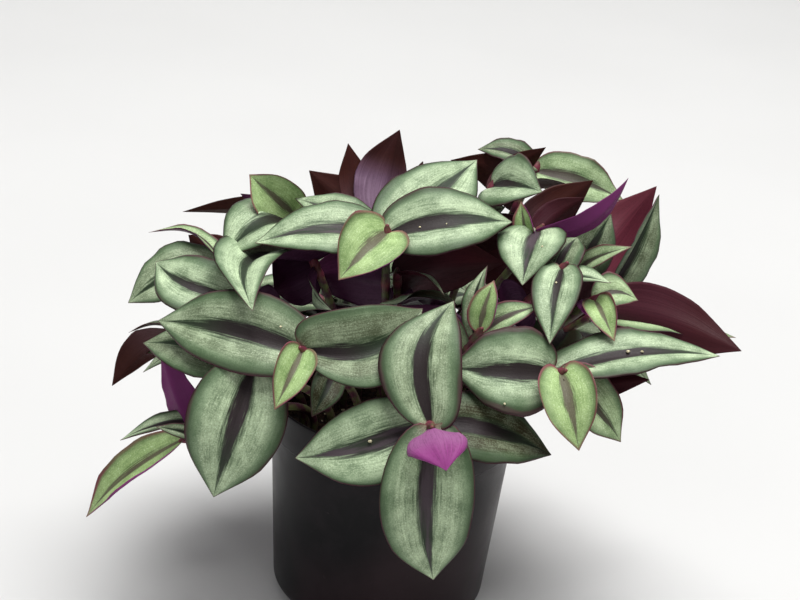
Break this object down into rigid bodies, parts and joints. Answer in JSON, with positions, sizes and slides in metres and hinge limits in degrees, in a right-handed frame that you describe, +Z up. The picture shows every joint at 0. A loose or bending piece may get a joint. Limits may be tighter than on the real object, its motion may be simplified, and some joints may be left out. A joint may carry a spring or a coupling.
{
  "type": "potted_plant",
  "caption": "Trailing tradescantia with silver and green striped leaves and purple undersides, in a round black nursery pot.",
  "frame": {"origin": "centre of the pot's flat base, on the surface it stands on", "axes": "+Z up out of the pot; +X to the right and -Y toward the viewer of the picture"},
  "size_m": [0.2638, 0.2289, 0.1951],
  "materials": {
    "pot_plastic": "satin black",
    "potting_mix": "rough, loose",
    "foliage": "satin, striped"
  },
  "bodies": {
    "root": {"pot": "pot_plastic", "soil": "potting_mix", "stem_back_high_1": "foliage", "stem_back_high_2": "foliage", "stem_back_high_3": "foliage", "stem_back_low_1": "foliage", "stem_back_low_2": "foliage", "stem_back_low_3": "foliage", "stem_back_low_4": "foliage", "stem_back_low_5": "foliage", "stem_back_right": "foliage", "stem_back_top": "foliage", "stem_back_upper_right": "foliage", "stem_far_right": "foliage", "stem_front_centre": "foliage", "stem_front_left": "foliage", "stem_inner": "foliage", "stem_inner_right": "foliage", "stem_left": "foliage", "stem_left_back": "foliage", "stem_left_front": "foliage", "stem_left_low": "foliage", "stem_left_mid": "foliage", "stem_right": "foliage", "stem_right_front": "foliage", "stem_right_mid": "foliage", "stem_right_mid_left": "foliage", "stem_right_top": "foliage", "stem_top": "foliage", "stem_upper_left": "foliage", "stem_upper_right": "foliage"}
  },
  "joints": []
}
